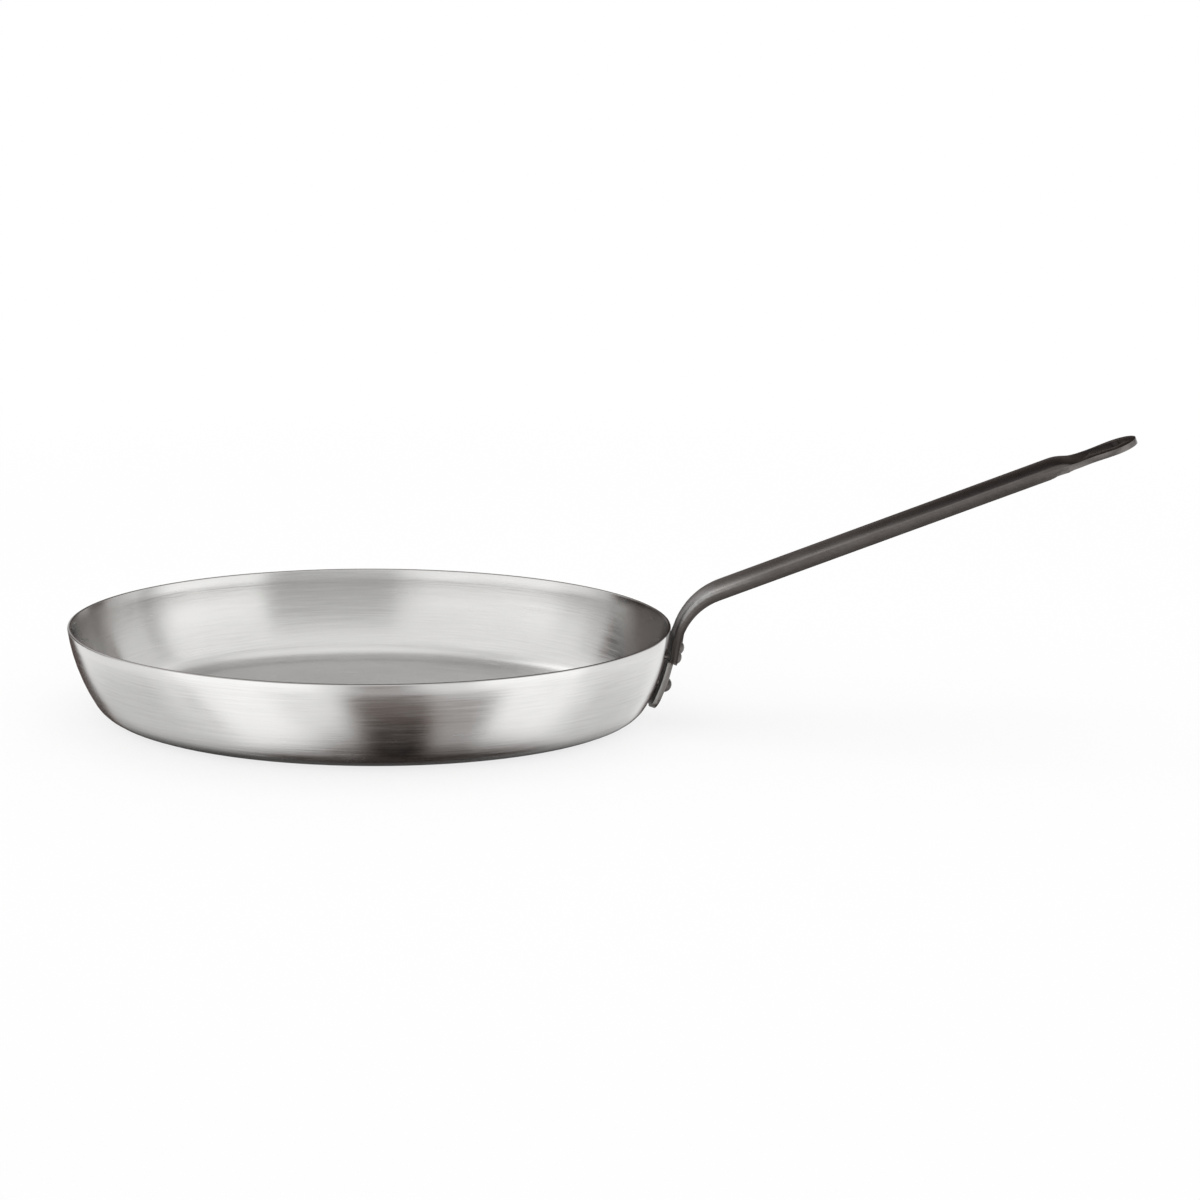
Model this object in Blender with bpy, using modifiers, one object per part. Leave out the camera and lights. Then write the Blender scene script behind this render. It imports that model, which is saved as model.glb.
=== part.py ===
"""Oval frying pan: a pressed steel pan, a pressed strip handle and three rivets.

Metres, +Z up. The origin is the centre of the flat base's underside, and +X points to the handle.
"""
import math

import bmesh
import bpy
from mathutils import Matrix, Vector

# Pan body, outside sizes
RIM_LENGTH = 0.360
RIM_WIDTH = 0.260
PAN_HEIGHT = 0.055
RIM_FLARE = math.radians(4.7)
FOOT_FLARE = math.radians(27.9)
CORNER_RADIUS = 0.019
SHEET = 0.002
RIM_ROUNDING = 0.0006

# Handle
STRIP = 0.0032
CROWN_RADIUS = 0.060
ARM_RISE = math.radians(22.2)
ARM_LENGTH = 0.250
ARM_WIDTH = 0.032
ARM_DEPTH = 0.0076
EDGE_RADIUS = 0.0040
BEND_RADIUS = 0.043
BEND_BELOW_RIM = 0.0048
BASE_WIDTH = 0.038
BASE_DEPTH = 0.0072
FLANGE_END_BELOW_RIM = 0.0138
TONGUE_WIDTH = 0.028
TONGUE_CORNER = 0.009
TONGUE_FILLET = 0.002
TONGUE_STRAIGHT_BELOW_RIM = 0.036
TONGUE_OFF_FLOOR = 0.010

# Flat end of the handle, measured back from its tip
RUNOUT_START = 0.052
RUNOUT_END = 0.033
NECK_FROM_TIP = 0.0275
NECK_WIDTH = 0.0240
EYE_WIDTH = 0.0270
HOLE_FROM_TIP = 0.0135
HOLE_WIDE_RADIUS = 0.0060
HOLE_NARROW_RADIUS = 0.0035
HOLE_LENGTH = 0.0195
EXTRA_BLANK = 0.001

# Rivets
SHANK_DIAMETER = 0.006
HEAD_DIAMETER = 0.0095
HEAD_HEIGHT = 0.0046
INNER_HEAD_DIAMETER = 0.009
INNER_HEAD_HEIGHT = 0.0016
UPPER_RIVETS_BELOW_RIM = 0.0125
UPPER_RIVETS_APART = 0.019
LOWER_RIVET_BELOW_RIM = 0.032

# Clearances between touching pieces
SEAT_GAP = 0.0003
HEAD_GAP = 0.0003
SHANK_GAP = 0.0003

# Facets
RIM_SEGMENTS = 120
WALL_SEGMENTS = 6
CORNER_SEGMENTS = 6
ARCH_SEGMENTS = 4
EDGE_SEGMENTS = 4
HUG_SEGMENTS = 5
BEND_SEGMENTS = 12
ARM_SEGMENTS = 4
RUNOUT_SEGMENTS = 8
TONGUE_CORNER_SEGMENTS = 8
TONGUE_FILLET_SEGMENTS = 3
EYE_SEGMENTS = 10
NECK_SEGMENTS = 14
HOLE_SEGMENTS = 14
RIVET_SEGMENTS = 24
DOME_SEGMENTS = 5


def clear_scene():
    for scene_object in list(bpy.data.objects):
        bpy.data.objects.remove(scene_object, do_unlink=True)


def new_collection(name):
    collection = bpy.data.collections.new(name)
    bpy.context.scene.collection.children.link(collection)
    return collection


def principled(name, color, roughness, metallic):
    material = bpy.data.materials.new(name)
    material.use_nodes = True
    shader = material.node_tree.nodes["Principled BSDF"]
    shader.inputs["Base Color"].default_value = (*color, 1.0)
    shader.inputs["Roughness"].default_value = roughness
    shader.inputs["Metallic"].default_value = metallic
    return material


def object_from(bm, name, collection, material=None):
    mesh = bpy.data.meshes.new(name)
    bm.to_mesh(mesh)
    bm.free()
    made = bpy.data.objects.new(name, mesh)
    collection.objects.link(made)
    if material:
        mesh.materials.append(material)
    return made


def shade(made, sharp_degrees=35):
    made.data.shade_smooth()
    made.data.set_sharp_from_angle(angle=math.radians(sharp_degrees))


def cut(target, cutter):
    cutter.hide_render = True
    cutter.display_type = 'WIRE'
    boolean = target.modifiers.new(cutter.name, 'BOOLEAN')
    boolean.operation = 'DIFFERENCE'
    boolean.solver = 'EXACT'
    boolean.object = cutter


def smooth_step(value):
    value = min(1.0, max(0.0, value))
    return value * value * (3.0 - 2.0 * value)


def blend(first, second, share):
    return first + (second - first) * share


# The pan's outer surface: a wall of one long radius, then the corner's short one

def corner_top():
    """Height at which the corner's radius meets the wall's."""
    return CORNER_RADIUS * (1.0 - math.sin(FOOT_FLARE))


def wall_radius():
    return (PAN_HEIGHT - corner_top()) / (math.sin(FOOT_FLARE) - math.sin(RIM_FLARE))


def wall_flare(below_rim):
    """Angle of the wall from the vertical at a depth below the rim."""
    return math.asin(math.sin(RIM_FLARE) + below_rim / wall_radius())


def wall_inset(below_rim):
    """How far the wall has come in at a depth below the rim."""
    return wall_radius() * (math.cos(RIM_FLARE) - math.cos(wall_flare(below_rim)))


def pan_profile():
    """(inset from the rim's outline, height) from the rim down to the flat base."""
    profile = []
    for step in range(WALL_SEGMENTS):
        below_rim = (PAN_HEIGHT - corner_top()) * step / WALL_SEGMENTS
        profile.append((wall_inset(below_rim), PAN_HEIGHT - below_rim))
    center_inset = wall_inset(PAN_HEIGHT - corner_top()) + CORNER_RADIUS * math.cos(FOOT_FLARE)
    for step in range(CORNER_SEGMENTS + 1):
        angle = blend(FOOT_FLARE, math.pi / 2.0, step / CORNER_SEGMENTS)
        inset = center_inset - CORNER_RADIUS * math.cos(angle)
        profile.append((inset, CORNER_RADIUS * (1.0 - math.sin(angle))))
    return profile


def oval_point(turn, inset, height):
    """A point of the rim's ellipse moved in along its own normal."""
    half_length = RIM_LENGTH / 2.0
    half_width = RIM_WIDTH / 2.0
    normal = Vector((half_width * math.cos(turn), half_length * math.sin(turn), 0.0)).normalized()
    on_rim = Vector((half_length * math.cos(turn), half_width * math.sin(turn), height))
    return on_rim - normal * inset


def end_radius(below_rim):
    """Radius in plan of the wall at the handle's end of the oval."""
    return (RIM_WIDTH / 2.0) ** 2 / (RIM_LENGTH / 2.0) - wall_inset(below_rim)


def wall_out(below_rim):
    """Outward normal of the wall on the handle's centre line."""
    flare = wall_flare(below_rim)
    return Vector((math.cos(flare), 0.0, -math.sin(flare)))


def wall_up(below_rim):
    flare = wall_flare(below_rim)
    return Vector((math.sin(flare), 0.0, math.cos(flare)))


def wall_point(below_rim):
    """A point of the outer wall on the handle's centre line."""
    return Vector((RIM_LENGTH / 2.0 - wall_inset(below_rim), 0.0, PAN_HEIGHT - below_rim))


def make_pan_body(collection, material):
    bm = bmesh.new()
    rings = []
    for inset, height in pan_profile():
        ring = []
        for index in range(RIM_SEGMENTS):
            turn = 2.0 * math.pi * index / RIM_SEGMENTS
            ring.append(bm.verts.new(oval_point(turn, inset, height)))
        rings.append(ring)
    for ring in rings:
        for index in range(RIM_SEGMENTS):
            bm.edges.new((ring[index], ring[(index + 1) % RIM_SEGMENTS]))
    for upper, lower in zip(rings, rings[1:]):
        loops = set(upper) | set(lower)
        edges = [edge for edge in bm.edges if edge.verts[0] in loops and edge.verts[1] in loops]
        bmesh.ops.bridge_loops(bm, edges=edges)
    bm.faces.new(rings[-1])
    bmesh.ops.recalc_face_normals(bm, faces=bm.faces)
    lowest = min(bm.faces, key=lambda face: face.calc_center_median().z)
    if lowest.normal.z > 0.0:
        bmesh.ops.reverse_faces(bm, faces=bm.faces)
    body = object_from(bm, "pan_body", collection, material)
    shade(body)
    sheet = body.modifiers.new("sheet", 'SOLIDIFY')
    sheet.thickness = SHEET
    sheet.offset = -1.0
    sheet.use_even_offset = True
    rounding = body.modifiers.new("rim rounding", 'BEVEL')
    rounding.width = RIM_ROUNDING
    rounding.segments = 2
    rounding.limit_method = 'ANGLE'
    rounding.angle_limit = math.radians(50)
    return body


# The handle: its path lies on the face that touches the pan, which is the top of the arm

class HandlePath:
    """Straight at the tongue's end, round the wall, back round the bend and along the arm."""

    def __init__(self):
        tip_below_rim = PAN_HEIGHT - TONGUE_OFF_FLOOR
        self.hug_flare = wall_flare(TONGUE_STRAIGHT_BELOW_RIM)
        self.bend_flare = wall_flare(BEND_BELOW_RIM)
        self.hug_radius = wall_radius() + SEAT_GAP
        self.hug_start = (tip_below_rim - TONGUE_STRAIGHT_BELOW_RIM) / math.cos(self.hug_flare)
        self.bend_start = self.hug_start + self.hug_radius * (self.hug_flare - self.bend_flare)
        self.bend_turn = math.pi / 2.0 - self.bend_flare - ARM_RISE
        self.bend_end = self.bend_start + BEND_RADIUS * self.bend_turn
        self.length = self.bend_end + ARM_LENGTH
        self.bend_center = self.seat(BEND_BELOW_RIM) + wall_out(BEND_BELOW_RIM) * BEND_RADIUS

    def seat(self, below_rim):
        return wall_point(below_rim) + wall_out(below_rim) * SEAT_GAP

    def below_rim(self, along):
        """Depth below the rim of the wall that a place on the path lies on."""
        if along > self.bend_start:
            return BEND_BELOW_RIM
        if along < self.hug_start:
            return TONGUE_STRAIGHT_BELOW_RIM
        flare = self.hug_flare - (along - self.hug_start) / self.hug_radius
        return wall_radius() * (math.sin(flare) - math.sin(RIM_FLARE))

    def along_wall(self, below_rim):
        """Place on the path that lies on the wall at a depth below the rim."""
        return self.hug_start + self.hug_radius * (self.hug_flare - wall_flare(below_rim))

    def frame(self, along):
        """The point of the path, its direction and the normal of the touching face."""
        if along <= self.bend_start:
            below_rim = self.below_rim(along)
            heading = wall_up(below_rim)
            point = self.seat(below_rim) + heading * min(0.0, along - self.hug_start)
            return point, heading, -wall_out(below_rim)
        turned = min(along - self.bend_start, BEND_RADIUS * self.bend_turn) / BEND_RADIUS
        angle = math.pi / 2.0 - self.bend_flare - turned
        heading = Vector((math.cos(angle), 0.0, math.sin(angle)))
        normal = Vector((-math.sin(angle), 0.0, math.cos(angle)))
        point = self.bend_center + normal * BEND_RADIUS + heading * max(0.0, along - self.bend_end)
        return point, heading, normal

    def chord_matrix(self, along):
        """Axes for a cutter across the tongue: from its tip straight to a place further up."""
        tip = self.frame(0.0)[0]
        chord = self.frame(along)[0] - tip
        heading = chord.normalized()
        across = Vector((0.0, -1.0, 0.0))
        rotation = Matrix((across, heading, across.cross(heading))).transposed().to_4x4()
        return Matrix.Translation(tip) @ rotation

    def matrix(self, along):
        """Axes for a cutter: X across the handle, Y along it, Z out of the touching face."""
        point, heading, normal = self.frame(along)
        across = heading.cross(normal)
        rotation = Matrix((across, heading, normal)).transposed().to_4x4()
        return Matrix.Translation(point) @ rotation


def strip_curve(width, depth, unfold):
    """(across, height, angle) of the touching face, from the centre line to a free edge.

    Unfolding opens the curve until the strip is flat, and draws it in to the width of the flat end.
    """
    arch = math.asin((width / 2.0 - EDGE_RADIUS) / (CROWN_RADIUS - EDGE_RADIUS))
    edge = math.pi / 2.0 - arch
    flange = depth - CROWN_RADIUS * (1.0 - math.cos(arch)) - EDGE_RADIUS * math.cos(arch)
    runs = [(CROWN_RADIUS * arch / ARCH_SEGMENTS, arch / ARCH_SEGMENTS)] * ARCH_SEGMENTS
    runs += [(EDGE_RADIUS * edge / EDGE_SEGMENTS, edge / EDGE_SEGMENTS)] * EDGE_SEGMENTS
    runs += [(flange, 0.0)]
    half_blank = sum(length for length, turn in runs)
    drawn_in = blend(1.0, (EYE_WIDTH / 2.0 + EXTRA_BLANK) / half_blank, unfold)
    across, height, angle = 0.0, 0.0, 0.0
    points = [(across, height, angle)]
    for length, turn in runs:
        half_turn = turn * (1.0 - unfold) / 2.0
        chord = length * drawn_in
        if half_turn > 0.0001:
            chord *= math.sin(half_turn) / half_turn
        angle += half_turn
        across += chord * math.cos(angle)
        height -= chord * math.sin(angle)
        angle += half_turn
        points.append((across, height, angle))
    return points


def handle_section(width, depth, unfold):
    """The closed outline across the handle, as (across, height above the path) pairs.

    However far the strip is unfolded, its free edges stay at the same height.
    """
    half = strip_curve(width, depth, unfold)
    free_height, free_angle = half[-1][1:]
    top = STRIP * math.cos(free_angle) - depth - free_height
    outer = []
    inner = []
    for across, height, angle in half:
        outer.append((across, top + height))
        inner.append((across - STRIP * math.sin(angle), top + height - STRIP * math.cos(angle)))
    mirrored = [(-across, height) for across, height in reversed(outer[1:])]
    mirrored_inner = [(-across, height) for across, height in inner[1:]]
    return mirrored + outer + list(reversed(inner)) + mirrored_inner


def handle_sections(path):
    """Places along the path with the outline of the strip at each of them."""
    flange_end = path.along_wall(FLANGE_END_BELOW_RIM)
    runout_start = path.length - RUNOUT_START
    runout_end = path.length - RUNOUT_END
    places = [-EXTRA_BLANK]
    places += [blend(path.hug_start, path.bend_start, step / HUG_SEGMENTS) for step in range(HUG_SEGMENTS)]
    places += [blend(path.bend_start, path.bend_end, step / BEND_SEGMENTS) for step in range(BEND_SEGMENTS)]
    places += [blend(path.bend_end, runout_start, step / ARM_SEGMENTS) for step in range(ARM_SEGMENTS)]
    places += [blend(runout_start, runout_end, step / RUNOUT_SEGMENTS) for step in range(RUNOUT_SEGMENTS)]
    places += [runout_end, path.length]
    sections = []
    for along in places:
        bent = smooth_step((along - flange_end) / (path.bend_end - flange_end))
        unfold = smooth_step((along - runout_start) / (runout_end - runout_start))
        width = blend(BASE_WIDTH, ARM_WIDTH, bent)
        depth = blend(BASE_DEPTH, ARM_DEPTH, bent)
        sections.append((along, handle_section(width, depth, unfold)))
    return sections


def make_handle(path, collection, material):
    bm = bmesh.new()
    rows = []
    for along, outline in handle_sections(path):
        point, heading, normal = path.frame(along)
        side = heading.cross(normal)
        rows.append([bm.verts.new(point + side * across + normal * height) for across, height in outline])
    count = len(rows[0])
    for first, second in zip(rows, rows[1:]):
        for index in range(count):
            following = (index + 1) % count
            bm.faces.new((first[index], first[following], second[following], second[index]))
    bm.faces.new(rows[0])
    bm.faces.new(rows[-1])
    bmesh.ops.recalc_face_normals(bm, faces=bm.faces)
    handle = object_from(bm, "handle", collection, material)
    shade(handle)
    return handle


def arc(center, radius, start_degrees, end_degrees, segments):
    points = []
    for step in range(segments + 1):
        angle = math.radians(blend(start_degrees, end_degrees, step / segments))
        points.append((center[0] + radius * math.cos(angle), center[1] + radius * math.sin(angle)))
    return points


def prism(name, outline, matrix, half_height, collection):
    """A cutter: an outline in its own XY plane, made thick both ways along its Z axis."""
    bm = bmesh.new()
    face = bm.faces.new([bm.verts.new((x, y, -half_height)) for x, y in outline])
    grown = bmesh.ops.extrude_face_region(bm, geom=[face])
    raised = [item for item in grown["geom"] if isinstance(item, bmesh.types.BMVert)]
    bmesh.ops.translate(bm, verts=raised, vec=(0.0, 0.0, 2.0 * half_height))
    bmesh.ops.recalc_face_normals(bm, faces=bm.faces)
    made = object_from(bm, name, collection)
    made.matrix_world = matrix
    return made


def tongue_trim(path, collection):
    """Cuts away what lies round the tongue, below the turned-out edges."""
    flange_end = path.along_wall(FLANGE_END_BELOW_RIM)
    half = TONGUE_WIDTH / 2.0
    outside = BASE_WIDTH
    below = -BASE_WIDTH
    outline = [(outside, flange_end), (outside, below), (-outside, below), (-outside, flange_end)]
    fillet = half + TONGUE_FILLET
    fillet_top = flange_end - TONGUE_FILLET
    corner = half - TONGUE_CORNER
    outline += arc((-fillet, fillet_top), TONGUE_FILLET, 90, 0, TONGUE_FILLET_SEGMENTS)
    outline += arc((-corner, TONGUE_CORNER), TONGUE_CORNER, 180, 270, TONGUE_CORNER_SEGMENTS)
    outline += arc((corner, TONGUE_CORNER), TONGUE_CORNER, 270, 360, TONGUE_CORNER_SEGMENTS)
    outline += arc((fillet, fillet_top), TONGUE_FILLET, 180, 90, TONGUE_FILLET_SEGMENTS)
    return prism("tongue trim", outline, path.chord_matrix(flange_end), BASE_WIDTH, collection)


def eye_half_width(from_tip):
    """Half the width of the flat end: the arm, the neck, then the round eye."""
    eye = EYE_WIDTH / 2.0
    neck = NECK_WIDTH / 2.0
    if from_tip > NECK_FROM_TIP:
        share = (from_tip - NECK_FROM_TIP) / (RUNOUT_START - NECK_FROM_TIP)
        return blend(neck, ARM_WIDTH / 2.0 + SEAT_GAP, smooth_step(share))
    if from_tip > eye:
        return blend(eye, neck, smooth_step((from_tip - eye) / (NECK_FROM_TIP - eye)))
    return eye * math.sqrt(1.0 - (1.0 - from_tip / eye) ** 2)


def eye_trim(path, collection):
    """Cuts the flat end to its outline. Its Y axis starts at the handle's tip."""
    eye = EYE_WIDTH / 2.0
    quarter = [math.pi / 2.0 * step / EYE_SEGMENTS for step in range(1, EYE_SEGMENTS + 1)]
    around = [eye * (1.0 - math.cos(angle)) for angle in quarter]
    straight = [blend(eye, RUNOUT_START, (step + 1) / NECK_SEGMENTS) for step in range(NECK_SEGMENTS)]
    side = [(eye_half_width(from_tip), -from_tip) for from_tip in around + straight]
    outside = ARM_WIDTH
    beyond = EYE_WIDTH
    outline = [(outside, -RUNOUT_START), (outside, beyond), (-outside, beyond), (-outside, -RUNOUT_START)]
    outline += [(-across, along) for across, along in reversed(side)]
    outline += [(0.0, 0.0)]
    outline += side
    return prism("eye trim", outline, path.matrix(path.length), ARM_WIDTH, collection)


def hanging_hole(path, collection):
    """A pear-shaped hole, wide towards the tip."""
    spread = HOLE_LENGTH - HOLE_WIDE_RADIUS - HOLE_NARROW_RADIUS
    lean = math.degrees(math.asin((HOLE_WIDE_RADIUS - HOLE_NARROW_RADIUS) / spread))
    wide = (0.0, -HOLE_FROM_TIP)
    narrow = (0.0, -HOLE_FROM_TIP - spread)
    outline = arc(wide, HOLE_WIDE_RADIUS, -lean, 180 + lean, HOLE_SEGMENTS)
    outline += arc(narrow, HOLE_NARROW_RADIUS, 180 + lean, 360 - lean, HOLE_SEGMENTS)
    return prism("hanging hole", outline, path.matrix(path.length), ARM_WIDTH, collection)


# Rivets

def rivet_places():
    """Name, distance below the rim and distance across the centre line of each rivet."""
    across = UPPER_RIVETS_APART / 2.0
    return [
        ("rivet_upper_near", UPPER_RIVETS_BELOW_RIM, -across),
        ("rivet_upper_far", UPPER_RIVETS_BELOW_RIM, across),
        ("rivet_lower", LOWER_RIVET_BELOW_RIM, 0.0),
    ]


def rivet_matrix(below_rim, across):
    """Z along the rivet, out of the pan, Y across the plate. All three rivets point straight on."""
    seat = wall_point(below_rim) + Vector((0.0, across, 0.0))
    return Matrix.Translation(seat) @ Matrix.Rotation(math.pi / 2.0 + wall_flare(below_rim), 4, 'Y')


def dome(radius, height, base, sign):
    """Half profile of a domed head, from its edge to the axis."""
    points = []
    for step in range(DOME_SEGMENTS + 1):
        angle = math.pi / 2.0 * step / DOME_SEGMENTS
        points.append((radius * math.cos(angle), base + sign * height * math.sin(angle)))
    return points


def make_rivet(name, below_rim, across, collection, material):
    """Each head lies flat on its own side: the outer one on the bowed plate, the inner on the wall."""
    wall_across = end_radius(below_rim) / math.cos(wall_flare(below_rim))
    wall_slope = -across / wall_across
    plate_slope = across / CROWN_RADIUS
    shank = SHANK_DIAMETER / 2.0
    outer_seat = SEAT_GAP + plate_slope * across / 2.0 + STRIP + HEAD_GAP
    inner_seat = wall_slope * across / 2.0 - SHEET - HEAD_GAP
    profile = list(reversed(dome(HEAD_DIAMETER / 2.0, HEAD_HEIGHT, outer_seat, 1.0)))
    profile += [(shank, outer_seat), (shank, inner_seat)]
    profile += dome(INNER_HEAD_DIAMETER / 2.0, INNER_HEAD_HEIGHT, inner_seat, -1.0)
    bm = bmesh.new()
    verts = [bm.verts.new((radius, 0.0, height)) for radius, height in profile]
    edges = [bm.edges.new(pair) for pair in zip(verts, verts[1:])]
    bmesh.ops.spin(
        bm,
        geom=verts + edges,
        axis=(0.0, 0.0, 1.0),
        cent=(0.0, 0.0, 0.0),
        angle=2.0 * math.pi,
        steps=RIVET_SEGMENTS,
        use_merge=True,
    )
    bmesh.ops.remove_doubles(bm, verts=bm.verts, dist=0.00001)
    bmesh.ops.recalc_face_normals(bm, faces=bm.faces)
    for vert in bm.verts:
        slope = plate_slope if vert.co.z > 0.0 else wall_slope
        vert.co.z += slope * vert.co.y
    rivet = object_from(bm, name, collection, material)
    shade(rivet, 50)
    rivet.matrix_world = rivet_matrix(below_rim, across)
    return rivet


def rivet_hole(name, below_rim, across, collection):
    """The hole that a rivet's shank passes, through both the plate and the wall."""
    reach = SHEET + STRIP + BASE_DEPTH
    bm = bmesh.new()
    bmesh.ops.create_cone(
        bm,
        cap_ends=True,
        segments=RIVET_SEGMENTS,
        radius1=SHANK_DIAMETER / 2.0 + SHANK_GAP,
        radius2=SHANK_DIAMETER / 2.0 + SHANK_GAP,
        depth=2.0 * reach,
    )
    hole = object_from(bm, name, collection)
    hole.matrix_world = rivet_matrix(below_rim, across)
    return hole


def main():
    clear_scene()
    parts = new_collection("oval frying pan")
    cutters = new_collection("cutters")
    bright_steel = principled("brushed steel", (0.60, 0.59, 0.58), 0.34, 1.0)
    dark_steel = principled("dark handle steel", (0.075, 0.065, 0.060), 0.45, 0.7)
    rivet_steel = principled("rivet steel", (0.16, 0.14, 0.13), 0.40, 0.8)

    path = HandlePath()
    body = make_pan_body(parts, bright_steel)
    handle = make_handle(path, parts, dark_steel)
    cut(handle, tongue_trim(path, cutters))
    cut(handle, eye_trim(path, cutters))
    cut(handle, hanging_hole(path, cutters))
    for name, below_rim, across in rivet_places():
        make_rivet(name, below_rim, across, parts, rivet_steel)
        hole = rivet_hole(name + " hole", below_rim, across, cutters)
        cut(body, hole)
        cut(handle, hole)


main()
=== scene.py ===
"""Looks for the oval frying pan: brushed steel, a dark pressed handle and a plain studio."""
import math

import bmesh
import bpy
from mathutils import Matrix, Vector
from mathutils.bvhtree import BVHTree


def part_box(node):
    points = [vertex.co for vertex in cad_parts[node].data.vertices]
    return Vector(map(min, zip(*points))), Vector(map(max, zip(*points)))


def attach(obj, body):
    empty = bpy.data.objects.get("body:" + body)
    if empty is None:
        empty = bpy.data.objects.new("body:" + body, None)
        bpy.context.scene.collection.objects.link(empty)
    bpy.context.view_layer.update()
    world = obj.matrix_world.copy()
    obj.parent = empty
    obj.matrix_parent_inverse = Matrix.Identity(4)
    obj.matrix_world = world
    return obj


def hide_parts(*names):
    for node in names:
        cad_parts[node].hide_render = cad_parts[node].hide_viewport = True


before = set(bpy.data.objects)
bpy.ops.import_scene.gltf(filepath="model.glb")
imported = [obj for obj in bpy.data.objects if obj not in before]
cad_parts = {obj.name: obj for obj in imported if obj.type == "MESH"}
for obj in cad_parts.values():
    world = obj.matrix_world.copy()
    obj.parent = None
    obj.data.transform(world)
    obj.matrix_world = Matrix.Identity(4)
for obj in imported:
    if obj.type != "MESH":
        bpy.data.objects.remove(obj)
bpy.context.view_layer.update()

bl_info = {
    "name": "Oval Frying Pan",
    "version": (1, 0, 0),
    "blender": (4, 5, 0),
    "location": "View3D > Sidebar > Oval Pan",
    "description": "Dresses the oval frying pan in brushed steel and dark strip steel, in a plain studio",
    "category": "Object",
}

PAN_LOW, PAN_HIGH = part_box("pan_body")
HANDLE_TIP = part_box("handle")[1].x
RIVETS = ("rivet_upper_near", "rivet_upper_far", "rivet_lower")

WHITE = (1.0, 1.0, 1.0, 1.0)

# Directions on the part
ARM_RISE = math.radians(22.2)
ARM_UP = (-math.sin(ARM_RISE), 0.0, math.cos(ARM_RISE))
BEND_OUT = (-0.7, 0.0, 0.7)
RIVET_AXIS = (0.97, 0.0, -0.22)

# Where the tone of the steel changes, in metres. Each pair is where a change starts and where it is complete.
# Heights above the base's underside
FLAT_TOP = (0.003, 0.006)
GAP_SHADOW_FOOT = (0.010, 0.014)
TONGUE_TOP = (0.037, 0.041)
PLATE_SHADE_FOOT, PLATE_SHADE_TOP = (0.037, 0.042), (0.056, 0.070)
BEND_FOOT, BEND_TOP = (0.058, 0.068), (0.078, 0.096)
# Depths below the rim
RIM_EDGE = (0.0005, 0.0001)
# Distances from the centre line
PLATE_SIDE = (0.0138, 0.0168)
STRIP_SIDE = (0.0132, 0.0160)
HOLE_SIDE = (0.006, 0.009)
# Distances in from the pan's ends. By the shift, the painted dark reflection on the inner end reaches further
# in at the handle's end and less far at the other
PAN_END = (0.032, 0.010)
PAN_END_SHIFT = 0.012
GAP_SHADOW_END = (0.040, 0.030)
# Distances from the handle's tip
HOLE_END = (0.0036, 0.0066)
EYE_END = (0.0306, 0.0556)
ARM_FAR, ARM_NEAR = (0.0506, 0.0706), (0.2206, 0.2506)
FAR_HALF = (0.0906, 0.1806)


def color_property(name, description, rgb):
    """A colour that the user can change."""
    return bpy.props.FloatVectorProperty(
        name=name, description=description, default=rgb, min=0.0, max=1.0, subtype='COLOR', size=3)


class PanFinish(bpy.types.PropertyGroup):
    steel: color_property("Steel", "Colour of the brushed steel", (0.625, 0.62, 0.61))
    # Painted dark reflection on the wall's two inner ends
    ends: color_property("Inner ends", "Colour of the wall's two inner ends", (0.13, 0.107, 0.098))
    # Painted shade on the flat inside
    flat: color_property("Flat", "Colour that dulls the flat inside", (0.30, 0.298, 0.295))
    # Painted dark line of shade along the rim's top edge
    rim: color_property("Rim's edge", "Colour of the narrow edge on top of the rim", (0.10, 0.085, 0.078))
    # Painted shadow on the wall behind the plate
    gap_shadow: color_property("Behind the plate", "Colour of the wall behind the plate", (0.02, 0.016, 0.014))
    roughness: bpy.props.FloatProperty(
        name="Roughness", description="Roughness of the steel between the brush marks",
        default=0.22, min=0.0, max=1.0, subtype='FACTOR')
    brushing: bpy.props.FloatProperty(
        name="Brushing", description="How far the brush marks stretch a reflection up and down the wall",
        default=0.80, min=0.0, max=1.0, subtype='FACTOR')
    marks: bpy.props.FloatProperty(
        name="Marks", description="How far the brush marks vary the tone of the steel",
        default=0.62, min=0.0, max=3.0)
    mark_width: bpy.props.FloatProperty(
        name="Mark width", description="Width of one brush mark",
        default=0.0008, min=0.0002, max=0.01, precision=5, unit='LENGTH')
    mark_length: bpy.props.FloatProperty(
        name="Mark length", description="Length of one brush mark round the pan",
        default=0.022, min=0.005, max=0.2, unit='LENGTH')
    base_ring: bpy.props.FloatProperty(
        name="Base ring", description="Width of the ring that keeps the shading of the flat base flat",
        default=0.0015, min=0.0005, max=0.01, precision=4, unit='LENGTH')


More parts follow.
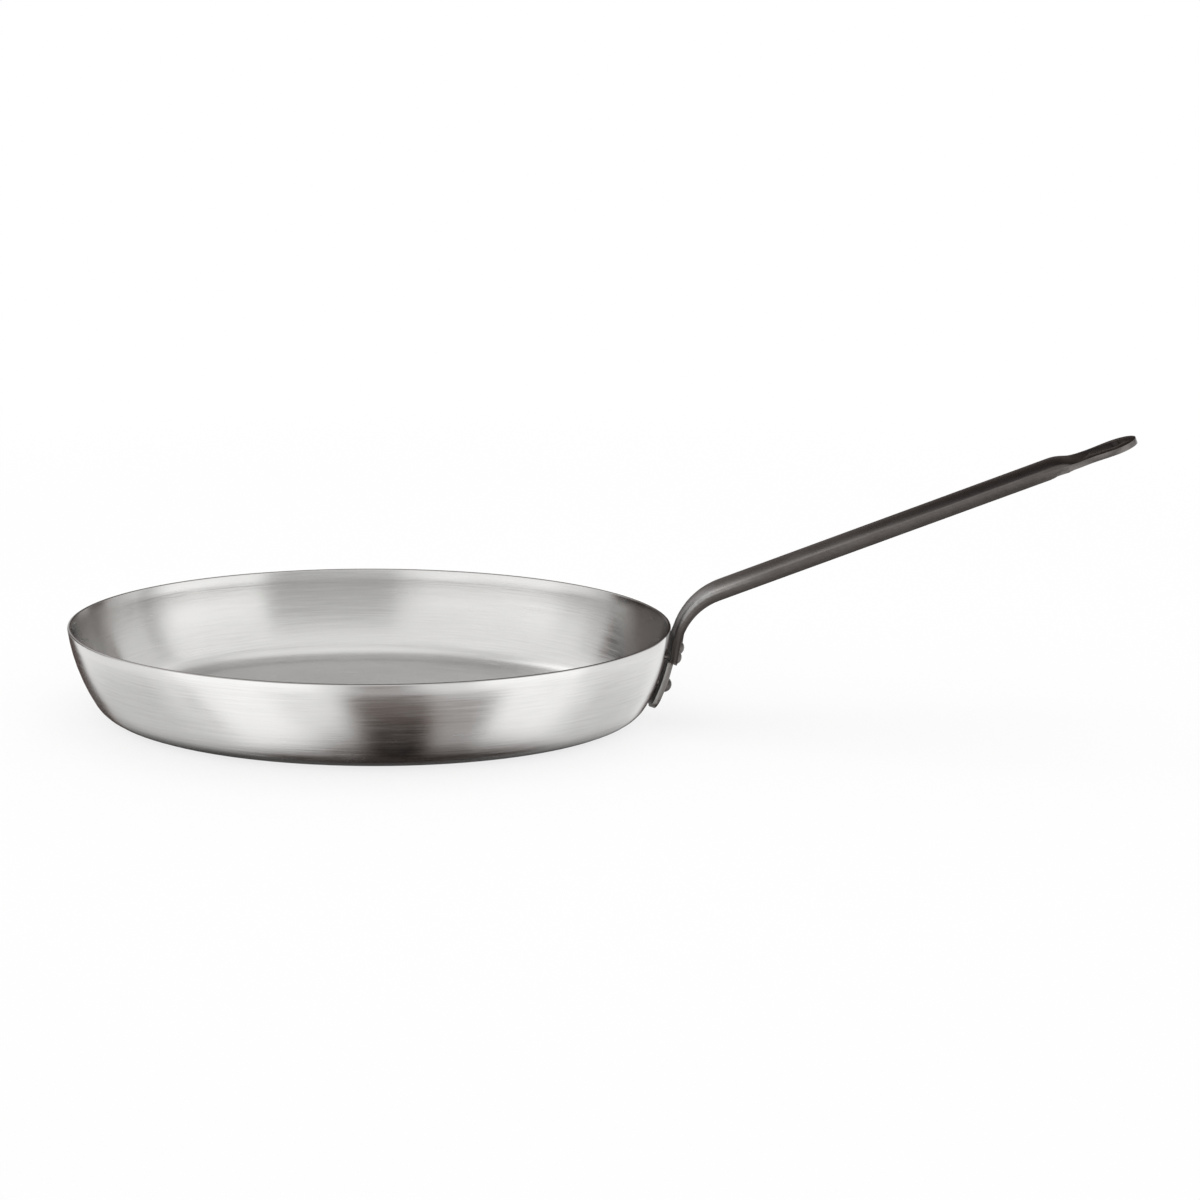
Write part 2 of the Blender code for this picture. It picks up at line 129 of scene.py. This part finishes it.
class HandleFinish(bpy.types.PropertyGroup):
    steel: color_property("Dark steel", "Colour of the handle's dark surface", (0.078, 0.068, 0.064))
    # Real wear along the strip's edges, and a painted highlight along the arm's ridges
    wear_and_highlight: color_property("Worn steel", "Colour where the surface is rubbed thin", (0.20, 0.185, 0.175))
    # Painted highlight on the bend
    bend_highlight: color_property("Bare steel", "Colour of the bright place on the bend", (0.36, 0.352, 0.345))
    tongue: color_property("Tongue's edges", "Colour of the tongue's two edges", (0.30, 0.29, 0.28))
    # Painted shade on the upper part of the plate
    plate_shade: color_property("Soot", "Colour of the upper part of the plate", (0.025, 0.020, 0.018))
    # Painted shade in the hole and along the arm's sides
    painted_shade: color_property("Grime", "Colour in the hole and along the arm's sides", (0.015, 0.012, 0.011))
    # Painted shade on top of the arm's far half
    far_top_shade: color_property("Far half", "Colour on top of the arm's far half", (0.009, 0.006, 0.005))
    rivet: color_property("Rivet steel", "Colour of the rivet heads", (0.11, 0.10, 0.095))
    # Painted shade on the rivets' sides
    rivet_side_shade: color_property("Rivets' sides", "Colour of the steel round the rivets", (0.03, 0.025, 0.022))
    roughness: bpy.props.FloatProperty(
        name="Roughness", description="Roughness of the dark surface",
        default=0.31, min=0.0, max=1.0, subtype='FACTOR')
    edge: bpy.props.FloatProperty(
        name="Edge break", description="Width of the small break along the strip's sheared edges",
        default=0.0004, min=0.0001, max=0.001, precision=5, unit='LENGTH')
    reach: bpy.props.FloatProperty(
        name="Reach", description="Widest gap between the plate's centre line and the wall that is closed",
        default=0.0011, min=0.0, max=0.003, precision=5, unit='LENGTH')


class StudioSetup(bpy.types.PropertyGroup):
    camera_place: bpy.props.FloatVectorProperty(
        name="Camera", description="Where the camera stands",
        default=(0.2700, -1.1834, 0.3841), size=3, subtype='TRANSLATION', unit='LENGTH')
    camera_aim: bpy.props.FloatVectorProperty(
        name="Aim", description="The point at the middle of the picture",
        default=(0.1363, 0.0184, 0.0671), size=3, subtype='TRANSLATION', unit='LENGTH')
    lens: bpy.props.FloatProperty(
        name="Lens", description="Focal length of the camera",
        default=62.96, min=20.0, max=200.0, unit='CAMERA')
    sensor: bpy.props.FloatProperty(
        name="Sensor", description="Width of the camera's sensor",
        default=36.0, min=8.0, max=70.0, unit='CAMERA')
    floor_size: bpy.props.FloatProperty(
        name="Floor", description="Side of the square floor",
        default=12.0, min=1.0, max=50.0, unit='LENGTH')
    floor_gap: bpy.props.FloatProperty(
        name="Floor gap", description="Gap between the floor and the pan's underside",
        default=0.0005, min=0.0, max=0.01, precision=4, unit='LENGTH')
    fill: bpy.props.FloatProperty(
        name="Fill light", description="Strength of the light from all round",
        default=0.85, min=0.0, max=2.0)
    softbox: bpy.props.FloatProperty(
        name="Softbox", description="Power of the lamp above",
        default=6.0, min=0.0, max=50.0, subtype='POWER', unit='POWER')
    softbox_size: bpy.props.FloatProperty(
        name="Softbox size", description="Side of the square lamp above",
        default=1.3, min=0.1, max=5.0, unit='LENGTH')
    softbox_place: bpy.props.FloatVectorProperty(
        name="Softbox place", description="Where the lamp above hangs",
        default=(0.1, 0.1, 1.6), size=3, subtype='TRANSLATION', unit='LENGTH')


class Shade:
    """A socket of a node tree. Python's operators on it add Math nodes."""

    def __init__(self, tree, socket=None):
        self.tree = tree
        self.socket = socket

    def node(self, kind, settings=None, values=None, output=0):
        """Any node: its type, its settings, and a value or a link for each of its sockets."""
        made = self.tree.nodes.new(kind)
        for name, setting in (settings or {}).items():
            setattr(made, name, setting)
        for name, value in (values or {}).items():
            if isinstance(value, Shade):
                self.tree.links.new(value.socket, made.inputs[name])
            else:
                made.inputs[name].default_value = value
        return Shade(self.tree, made.outputs[output]) if len(made.outputs) else None

    def math(self, operation, *others, clamp=False):
        values = {index + 1: other for index, other in enumerate(others)}
        return self.node('ShaderNodeMath', {"operation": operation, "use_clamp": clamp}, {0: self, **values})

    def __add__(self, other):
        return self.math('ADD', other)

    __radd__ = __add__

    def __sub__(self, other):
        return self.math('SUBTRACT', other)

    def __rsub__(self, other):
        return self.node('ShaderNodeMath', {"operation": 'SUBTRACT'}, {0: other, 1: self})

    def __mul__(self, other):
        return self.math('MULTIPLY', other)

    __rmul__ = __mul__

    def __abs__(self):
        return self.math('ABSOLUTE')

    def ramp(self, low, high):
        """0 below low and 1 above high, smooth between them."""
        settings = {"interpolation_type": 'SMOOTHSTEP'}
        values = {"Value": self, "From Min": low, "From Max": high, "To Min": 0.0, "To Max": 1.0}
        return self.node('ShaderNodeMapRange', settings, values)

    def between(self, rise, fall):
        """1 between a rise and a fall, and 0 outside them. Each is a pair, as for ramp."""
        return self.ramp(*rise) * (1.0 - self.ramp(*fall))

    def swing(self, amount):
        """Noise about 0.5 turned into a change of up to half this amount, up or down."""
        return (self - 0.5) * amount

    def vector(self, operation, other=None, output=0):
        values = {0: self} if other is None else {0: self, 1: other}
        return self.node('ShaderNodeVectorMath', {"operation": operation}, values, output)

    def dot(self, other):
        return self.vector('DOT_PRODUCT', other, "Value")

    def length(self):
        return self.vector('LENGTH', output="Value")

    def scaled(self, factor):
        return self.node('ShaderNodeVectorMath', {"operation": 'SCALE'}, {"Vector": self, "Scale": factor})

    def part(self, axis):
        """One part of a vector: 0, 1 or 2 for X, Y or Z."""
        return self.node('ShaderNodeSeparateXYZ', {}, {0: self}, axis)

    def noise(self, detail, rough=0.5):
        """Noise of size one in this vector, from 0 to 1 about 0.5."""
        values = {"Vector": self, "Scale": 1.0, "Detail": detail, "Roughness": rough}
        return self.node('ShaderNodeTexNoise', {"noise_dimensions": '3D'}, values)

    def mix(self, first, second):
        """Two colours, mixed by this value."""
        return self.node('ShaderNodeMix', {"data_type": 'RGBA'}, {0: self, 6: first, 7: second}, 2)

    def shaders(self, first, second):
        """Two shaders, mixed by this value."""
        return self.node('ShaderNodeMixShader', {}, {0: self, 1: first, 2: second})


def color(rgb):
    """A colour as a socket takes it."""
    return (*rgb, 1.0)


def painted(steel, mask, rgb, amount):
    """Steel with a colour over it, by this amount where the mask is 1."""
    return (mask * amount).mix(steel, color(rgb))


def new_material(name):
    """A material, its Principled shader, its Object coordinates and the direction of its surface."""
    material = bpy.data.materials.new(name)
    material.use_nodes = True
    tree = material.node_tree
    shader = tree.nodes["Principled BSDF"]
    place = Shade(tree).node('ShaderNodeTexCoord', output="Object")
    facing = Shade(tree).node('ShaderNodeTexCoord', output="Normal")
    return material, shader, place, facing


def feed(shader, name, value):
    """Links what varies, and sets what doesn't."""
    if isinstance(value, Shade):
        value.tree.links.new(value.socket, shader.inputs[name])
    else:
        shader.inputs[name].default_value = value


def bump(height, strength, distance):
    """The surface's direction over small bumps of this height."""
    values = {"Strength": strength, "Distance": distance, "Height": height}
    return height.node('ShaderNodeBump', {}, values)


def brushed_steel(finish):
    """Steel brushed round the oval, on the wall and on the flat alike, with painted shade at the inner ends,
    on the flat, behind the plate and along the rim's top.
    """
    material, shader, place, facing = new_material("brushed pan steel")
    along = place.part(0)
    height = place.part(2)
    half_length = PAN_HIGH.x
    half_width = PAN_HIGH.y
    oval = place.vector('MULTIPLY', (1.0 / half_length, 1.0 / half_width, 0.0))
    outward = oval.vector('NORMALIZE')
    around = outward.scaled(half_width / finish.mark_length)
    profile = oval.length() * half_width + height

    def marks(width, length_share):
        """Brush marks of one width, long round the pan and narrow across the brushing."""
        upright = place.node('ShaderNodeCombineXYZ', {}, {"Z": profile * (1.0 / width)})
        return around.scaled(length_share).vector('ADD', upright).noise(detail=3.0)

    fine = marks(finish.mark_width, 1.0)
    coarse = marks(finish.mark_width * 5.0, 0.5)
    cloud = place.scaled(30.0).noise(detail=4.0, rough=0.65)
    tone = fine.swing(finish.marks) + coarse.swing(finish.marks * 0.4) + cloud.swing(0.45)
    bright = Vector(finish.steel)
    light_steel = [min(1.0, part * 1.16) for part in bright]
    steel = tone.math('ADD', 0.5, clamp=True).mix(color(bright * 0.82), color(light_steel))

    # Painted dark reflection on the inner ends, darker at the handle's end, and painted shade on the flat
    # inside
    inward = (outward.dot(facing) * -1.0).ramp(0.2, 0.5)
    start, full = PAN_END
    ends = inward * abs(along + PAN_END_SHIFT).ramp(half_length - start, half_length - full)
    far_end, added_at_handle = 0.76, 0.13
    steel = painted(steel, ends, finish.ends, along.ramp(-0.1, 0.1) * added_at_handle + far_end)
    flat = (1.0 - height.ramp(*FLAT_TOP)) * facing.part(2).ramp(0.5, 0.9)
    steel = painted(steel, flat, finish.flat, amount=0.26)

    # Painted shadow on the wall behind the handle's plate, and a painted dark line of shade along the rim's
    # top edge
    start, full = GAP_SHADOW_END
    gap_shadow = along.ramp(half_length - start, half_length - full) * height.ramp(*GAP_SHADOW_FOOT)
    gap_shadow = gap_shadow * (1.0 - abs(place.part(1)).ramp(*PLATE_SIDE)) * (1.0 - inward)
    steel = painted(steel, gap_shadow, finish.gap_shadow, amount=0.93)
    # Painted shade along the rim's top edge
    start, full = RIM_EDGE
    rim = height.ramp(PAN_HIGH.z - start, PAN_HIGH.z - full)
    steel = painted(steel, rim, finish.rim, amount=0.8)

    feed(shader, "Base Color", steel)
    feed(shader, "Metallic", 1.0)
    feed(shader, "Roughness", fine.swing(0.16) + coarse.swing(0.14) + cloud.swing(0.10) + finish.roughness)
    feed(shader, "Anisotropic", finish.brushing)
    feed(shader, "Anisotropic Rotation", 0.25)
    feed(shader, "Normal", bump(fine + coarse, strength=0.14, distance=0.0002))
    return material


def dark_steel(finish):
    """Mill scale and old oil on pressed strip, rubbed thin along the edges, with painted highlights on the
    bend and the arm's ridges and painted shade on the plate, the arm's sides, the hole and the arm's far top.
    """
    material, shader, place, facing = new_material("dark handle steel")
    across = abs(place.part(1))
    height = place.part(2)
    to_tip = HANDLE_TIP - place.part(0)
    side = abs(facing.part(1))
    upright = facing.dot(ARM_UP)
    grain = place.vector('MULTIPLY', (260.0, 900.0, 900.0)).noise(detail=3.0, rough=0.6)
    cloud = place.scaled(60.0).noise(detail=4.0, rough=0.6)
    speckle = place.scaled(900.0).noise(detail=2.0)
    edge = (across + cloud.swing(0.004)).ramp(*STRIP_SIDE)
    rubbed = (edge * 0.12 + grain.swing(0.45) + cloud.swing(0.40)).math('ADD', 0.04, clamp=True)
    steel = rubbed.mix(color(finish.steel), color(finish.wear_and_highlight))

    # Painted highlight on the bend, brightest on its shoulders, and painted shade on the plate below it
    crown = facing.dot(BEND_OUT).ramp(0.1, 0.6)
    shoulder = (side.ramp(0.05, 0.5) * 0.7 + 0.3) * (1.0 - side.ramp(0.75, 0.98))
    bend = crown * height.between(BEND_FOOT, BEND_TOP) * shoulder
    steel = painted(steel, bend, finish.bend_highlight, amount=(grain * 1.2).math('ADD', 0.2, clamp=True))
    steel = painted(steel, height.between(PLATE_SHADE_FOOT, PLATE_SHADE_TOP), finish.plate_shade, amount=0.6)

    # Painted highlight along the arm's two ridges, painted shade on its sides, and the tongue's edges
    arm = to_tip.between(ARM_FAR, ARM_NEAR)
    steel = painted(steel, arm * side.between((0.15, 0.45), (0.6, 0.9)), finish.wear_and_highlight, amount=0.22)
    steel = painted(steel, arm * side.ramp(0.85, 0.98), finish.painted_shade, amount=0.2)
    tongue_edge = side.ramp(0.5, 0.9) * (1.0 - height.ramp(*TONGUE_TOP))
    steel = painted(steel, tongue_edge, finish.tongue, amount=0.8)

    # The eye's worn outer edge, painted shade on the hole's wall, and painted shade on top of the arm's far
    # half
    sheared = (1.0 - abs(upright).ramp(0.4, 0.8)) * (1.0 - to_tip.ramp(*EYE_END))
    outside = (across.ramp(*HOLE_SIDE) + (1.0 - to_tip.ramp(*HOLE_END))).math('MINIMUM', 1.0)
    steel = painted(steel, sheared * outside, finish.wear_and_highlight, amount=0.6)
    steel = painted(steel, sheared * (1.0 - outside), finish.painted_shade, amount=0.9)
    far_top_shade = upright.ramp(0.83, 0.96) * (1.0 - to_tip.ramp(*FAR_HALF))
    steel = painted(steel, far_top_shade, finish.far_top_shade, amount=0.93)

    feed(shader, "Base Color", steel)
    feed(shader, "Metallic", 0.85)
    feed(shader, "Roughness", cloud.swing(0.22) + speckle.swing(0.16) + finish.roughness)
    feed(shader, "Normal", bump(speckle * 0.5 + grain * 0.4 + cloud, strength=0.40, distance=0.0003))
    return material


def rivet_steel(finish):
    """Dull steel, dented by the hammer that closed the heads, with painted shade on the rivets' sides."""
    material, shader, place, facing = new_material("rivet steel")
    dents = place.scaled(420.0).noise(detail=1.0, rough=0.4)
    cloud = place.scaled(160.0).noise(detail=3.0, rough=0.6)
    dull = Vector(finish.rivet)
    steel = cloud.ramp(0.3, 0.7).mix(color(dull * 0.65), color(dull * 1.35))
    # Painted shade on the rivets' sides, where they sit in the gap
    rivet_side_shade = 1.0 - abs(facing.dot(RIVET_AXIS)).ramp(0.1, 0.3)
    feed(shader, "Base Color", painted(steel, rivet_side_shade, finish.rivet_side_shade, amount=0.85))
    feed(shader, "Metallic", 0.9)
    feed(shader, "Roughness", cloud.swing(0.25) + 0.36)
    feed(shader, "Normal", bump(dents, strength=0.35, distance=0.0006))
    return material


def merged_copy(node):
    """A bmesh of a CAD node with its triangles joined into whole faces."""
    weld_distance = 0.000002
    flat_within = math.radians(0.4)
    bm = bmesh.new()
    bm.from_mesh(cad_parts[node].data)
    bmesh.ops.remove_doubles(bm, verts=bm.verts, dist=weld_distance)
    bmesh.ops.dissolve_limit(
        bm, angle_limit=flat_within, use_dissolve_boundaries=False, verts=bm.verts, edges=bm.edges)
    return bm


def press_on_wall(bm, reach):
    """Brings the plate's centre line on the wall, where the solids keep a small gap."""
    on_center_line = 0.0005
    pan = merged_copy("pan_body")
    wall = BVHTree.FromBMesh(pan)
    for vert in bm.verts:
        if abs(vert.co.y) < on_center_line:
            place = wall.find_nearest(vert.co, reach)[0]
            if place is not None:
                vert.co = place
    pan.free()


def break_edges(bm, width, sharp_degrees):
    """Bevels the edges that are sharper than an angle."""
    limit = math.radians(sharp_degrees)
    sharp = [edge for edge in bm.edges if edge.is_manifold and edge.calc_face_angle() > limit]
    bmesh.ops.bevel(
        bm, geom=sharp, offset=width, offset_type='OFFSET', segments=2, profile=0.5, affect='EDGES',
        clamp_overlap=True, material=-1)


def finished_piece(bm, name, material, nodes, sharp_degrees=35, mirrored=True):
    """The piece that stands for CAD nodes, in place and riding on the pan."""
    mesh = bpy.data.meshes.new(name)
    bm.to_mesh(mesh)
    bm.free()
    mesh.materials.clear()
    mesh.materials.append(material)
    mesh.shade_smooth()
    mesh.set_sharp_from_angle(angle=math.radians(sharp_degrees))
    piece = bpy.data.objects.new(name, mesh)
    bpy.context.scene.collection.objects.link(piece)
    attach(piece, "root")
    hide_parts(*nodes)
    piece.visible_glossy = mirrored
    return piece


class OVALPAN_OT_body(bpy.types.Operator):
    """Make the pan itself, in brushed steel"""
    bl_idname = "ovalpan.body"
    bl_label = "Pan body"

    def execute(self, context):
        finish = context.scene.oval_pan_body
        level = 0.9999
        flat_area = 0.01
        bm = merged_copy("pan_body")
        flats = [face for face in bm.faces if abs(face.normal.z) > level and face.calc_area() > flat_area]
        if len(flats) < 2:
            raise RuntimeError("the pan's flat base wasn't found")
        bmesh.ops.inset_individual(bm, faces=flats, thickness=finish.base_ring, use_even_offset=True)
        finished_piece(bm, "steel_pan", brushed_steel(finish), ["pan_body"])
        return {'FINISHED'}


class OVALPAN_OT_handle(bpy.types.Operator):
    """Make the pressed strip handle, in dark steel"""
    bl_idname = "ovalpan.handle"
    bl_label = "Handle"

    def execute(self, context):
        finish = context.scene.oval_pan_handle
        bm = merged_copy("handle")
        press_on_wall(bm, finish.reach)
        break_edges(bm, finish.edge, sharp_degrees=55)
        finished_piece(bm, "strip_handle", dark_steel(finish), ["handle"], mirrored=False)
        return {'FINISHED'}


class OVALPAN_OT_rivets(bpy.types.Operator):
    """Make the three rivets"""
    bl_idname = "ovalpan.rivets"
    bl_label = "Rivets"

    def execute(self, context):
        finish = context.scene.oval_pan_handle
        material = rivet_steel(finish)
        for node in RIVETS:
            name = node.replace("rivet", "steel_rivet")
            bm = merged_copy(node)
            finished_piece(bm, name, material, [node], sharp_degrees=50, mirrored=False)
        return {'FINISHED'}


class OVALPAN_OT_studio(bpy.types.Operator):
    """Set the floor, the light and the camera"""
    bl_idname = "ovalpan.studio"
    bl_label = "Studio"

    def execute(self, context):
        setup = context.scene.oval_pan_studio
        lay_floor(setup)
        light_world(context.scene, setup)
        hang_softbox(setup)
        place_camera(context.scene, setup)
        context.scene.view_settings.view_transform = 'Standard'
        return {'FINISHED'}


def lay_floor(setup):
    """A white floor that keeps the pan's soft shadow. Metal sees it only under the pan, where it holds a
    painted shadow.
    """
    bm = bmesh.new()
    bmesh.ops.create_grid(bm, x_segments=1, y_segments=1, size=setup.floor_size / 2.0)
    mesh = bpy.data.meshes.new("floor")
    bm.to_mesh(mesh)
    bm.free()
    floor = bpy.data.objects.new("floor", mesh)
    floor.location.z = PAN_LOW.z - setup.floor_gap
    bpy.context.scene.collection.objects.link(floor)
    mesh.materials.append(white_floor())


def white_floor():
    """White that shows a shadow near the pan and glows evenly further out."""
    material = bpy.data.materials.new("white floor")
    material.use_nodes = True
    tree = material.node_tree
    tree.nodes.clear()
    start = Shade(tree)
    place = start.node('ShaderNodeTexCoord', output="Object")
    camera_ray = start.node('ShaderNodeLightPath', output="Is Camera Ray")
    glossy_ray = start.node('ShaderNodeLightPath', output="Is Glossy Ray")
    white = start.node('ShaderNodeBsdfDiffuse', {}, {"Color": color((0.95, 0.95, 0.95))})
    glow = start.node('ShaderNodeEmission', {}, {"Color": WHITE, "Strength": 1.0})
    dark = start.node('ShaderNodeBsdfDiffuse', {}, {"Color": color((0.05, 0.04, 0.035))})
    clear = start.node('ShaderNodeBsdfTransparent')
    evenly = place.length().ramp(0.45, 1.2) * 0.22 + 0.78
    seen = (camera_ray * evenly).shaders(white, glow)
    # A painted shadow under the pan, seen only in reflections
    from_pan = place.vector('MULTIPLY', (1.0 / PAN_HIGH.x, 1.0 / PAN_HIGH.y, 0.0)).length()
    painted_shadow_under_pan = 1.0 - from_pan.ramp(0.84, 0.97)
    mirrored = (painted_shadow_under_pan * 0.92).shaders(clear, dark)
    start.node('ShaderNodeOutputMaterial', {}, {"Surface": glossy_ray.shaders(seen, mirrored)})
    return material


# The studio's softboxes and the dark gaps between them, as metal sees them: direction and half width in
# degrees round the pan, softness, lowest and highest elevation with their softness, and brightness.
# Direction 0 is towards the handle and -90 towards the camera
OPEN_LIGHT = 1.16
WALLS = (
    (-36.0, 22.0, 5.0, -22.0, 20.0, 8.0, 1.35),     # box at the front right
    (-127.0, 23.0, 5.0, -22.0, 16.0, 8.0, 1.35),    # box at the front left
    (-30.0, 18.0, 5.0, -68.0, -26.0, 4.0, 1.20),    # light under the box at the right
    (-135.0, 14.0, 5.0, -68.0, -26.0, 4.0, 1.26),   # light under the box at the left
    (-85.0, 14.0, 4.0, -90.0, -26.0, 7.0, 0.13),    # gap between the boxes, low
    (-84.0, 15.0, 5.0, -90.0, -47.0, 7.0, 0.22),    # its foot
    (-107.0, 10.0, 6.0, -90.0, -58.0, 7.0, 0.35),   # its foot, further left
    (-60.0, 13.0, 6.0, -60.0, -30.0, 6.0, 0.36),    # its right side
    (-86.0, 9.0, 5.0, -20.0, 0.0, 4.0, 0.30),       # gap between the boxes, level
    (-78.0, 20.0, 3.0, 2.0, 30.0, 7.0, 0.58),       # gap between the boxes, high
    (154.0, 29.0, 5.0, -2.0, 20.0, 5.0, 0.01),      # gap at the left
    (-175.0, 10.0, 6.0, 0.0, 24.0, 6.0, 0.70),      # its edge towards the front
    (129.0, 13.0, 3.0, -32.0, -8.0, 4.0, 0.06),     # gap at the back left, below the level
    (134.0, 14.0, 6.0, -60.0, -30.0, 6.0, 0.50),    # its foot
    (95.0, 22.0, 8.0, -30.0, 3.0, 5.0, 0.04),       # gap at the back, below the level
    (132.0, 24.0, 8.0, 30.0, 62.0, 6.0, 1.60),      # box at the back left, high
    (92.0, 20.0, 7.0, 3.0, 46.0, 6.0, 0.06),        # gap at the back, high
    (42.0, 10.0, 4.0, 3.0, 22.0, 5.0, 0.10),        # gap at the back right
    (24.0, 28.0, 5.0, -6.0, 50.0, 8.0, 0.80),       # dim wall at the right
    (-3.0, 5.0, 3.0, 5.0, 34.0, 6.0, 0.75),         # its edge towards the front
    (172.0, 26.0, 8.0, -62.0, -24.0, 6.0, 0.70),    # dim floor at the left
    (-153.0, 4.0, 2.0, -52.0, -32.0, 5.0, 0.70),    # narrow strip at the front left, low
    (34.0, 34.0, 10.0, -62.0, -30.0, 8.0, 0.74),    # dim floor at the back right
    (-90.0, 180.0, 1.0, 59.0, 71.0, 5.0, 0.76),     # dim ring all round, high
)


def light_world(scene, setup):
    """White for the camera, plain light for everything, and light walls with gaps for the metal."""
    world = bpy.data.worlds.new("studio")
    scene.world = world
    world.use_nodes = True
    tree = world.node_tree
    tree.nodes.clear()
    start = Shade(tree)
    direction = start.node('ShaderNodeTexCoord', output="Generated").vector('NORMALIZE')
    level = direction.vector('MULTIPLY', (1.0, 1.0, 0.0)).vector('NORMALIZE')
    degree = 180.0 / math.pi
    height = direction.part(2).math('ARCSINE') * degree
    light = OPEN_LIGHT
    for turn, half_width, softness, low, high, fade, brightness in WALLS:
        middle = (math.cos(math.radians(turn)), math.sin(math.radians(turn)), 0.0)
        away = level.dot(middle).math('ARCCOSINE') * degree
        inside = 1.0 - away.ramp(half_width - softness, half_width + softness)
        inside = inside * height.between((low - fade, low + fade), (high - fade, high + fade))
        light = (1.0 - inside * (1.0 - brightness)) * light
    dark_below = 0.06 + height.ramp(-70.0, -58.0) * 0.94
    light = light * dark_below
    warm_dark = color((1.3, 1.0, 0.9))
    tint = light.ramp(0.0, 0.6).mix(warm_dark, WHITE)
    camera_ray = start.node('ShaderNodeLightPath', output="Is Camera Ray")
    glossy_ray = start.node('ShaderNodeLightPath', output="Is Glossy Ray")
    plain = start.node('ShaderNodeBackground', {}, {"Color": WHITE, "Strength": setup.fill})
    walls = start.node('ShaderNodeBackground', {}, {"Color": tint, "Strength": light})
    white = start.node('ShaderNodeBackground', {}, {"Color": WHITE, "Strength": 1.0})
    final = camera_ray.shaders(glossy_ray.shaders(plain, walls), white)
    start.node('ShaderNodeOutputWorld', {}, {"Surface": final})


def hang_softbox(setup):
    """One wide soft lamp above the pan. Metal shows the walls of light in its place."""
    lamp = bpy.data.lights.new("softbox", 'AREA')
    lamp.shape = 'SQUARE'
    lamp.size = setup.softbox_size
    lamp.energy = setup.softbox
    box = bpy.data.objects.new("softbox", lamp)
    box.location = setup.softbox_place
    box.visible_glossy = False
    bpy.context.scene.collection.objects.link(box)


def place_camera(scene, setup):
    """The photograph's point of view."""
    data = bpy.data.cameras.new("camera")
    data.lens = setup.lens
    data.sensor_width = setup.sensor
    camera = bpy.data.objects.new("camera", data)
    place = Vector(setup.camera_place)
    camera.location = place
    camera.rotation_euler = (Vector(setup.camera_aim) - place).to_track_quat('-Z', 'Y').to_euler()
    scene.collection.objects.link(camera)
    scene.camera = camera


class OVALPAN_PT_panel(bpy.types.Panel):
    bl_idname = "OVALPAN_PT_panel"
    bl_label = "Oval Frying Pan"
    bl_space_type = 'VIEW_3D'
    bl_region_type = 'UI'
    bl_category = "Oval Pan"

    def draw(self, context):
        scene = context.scene
        for title, group, operators in (
            ("Pan", scene.oval_pan_body, (OVALPAN_OT_body,)),
            ("Handle and rivets", scene.oval_pan_handle, (OVALPAN_OT_handle, OVALPAN_OT_rivets)),
            ("Studio", scene.oval_pan_studio, (OVALPAN_OT_studio,)),
        ):
            box = self.layout.box()
            box.label(text=title)
            for name in group.bl_rna.properties.keys():
                if name not in {"rna_type", "name"}:
                    box.prop(group, name)
            for operator in operators:
                box.operator(operator.bl_idname)


CLASSES = (
    PanFinish,
    HandleFinish,
    StudioSetup,
    OVALPAN_OT_body,
    OVALPAN_OT_handle,
    OVALPAN_OT_rivets,
    OVALPAN_OT_studio,
    OVALPAN_PT_panel,
)


def register():
    for item in CLASSES:
        bpy.utils.register_class(item)
    bpy.types.Scene.oval_pan_body = bpy.props.PointerProperty(type=PanFinish)
    bpy.types.Scene.oval_pan_handle = bpy.props.PointerProperty(type=HandleFinish)
    bpy.types.Scene.oval_pan_studio = bpy.props.PointerProperty(type=StudioSetup)


def unregister():
    del bpy.types.Scene.oval_pan_studio
    del bpy.types.Scene.oval_pan_handle
    del bpy.types.Scene.oval_pan_body
    for item in reversed(CLASSES):
        bpy.utils.unregister_class(item)


def main():
    register()
    bpy.ops.ovalpan.studio()
    bpy.ops.ovalpan.body()
    bpy.ops.ovalpan.handle()
    bpy.ops.ovalpan.rivets()


if __name__ == "__main__":
    main()
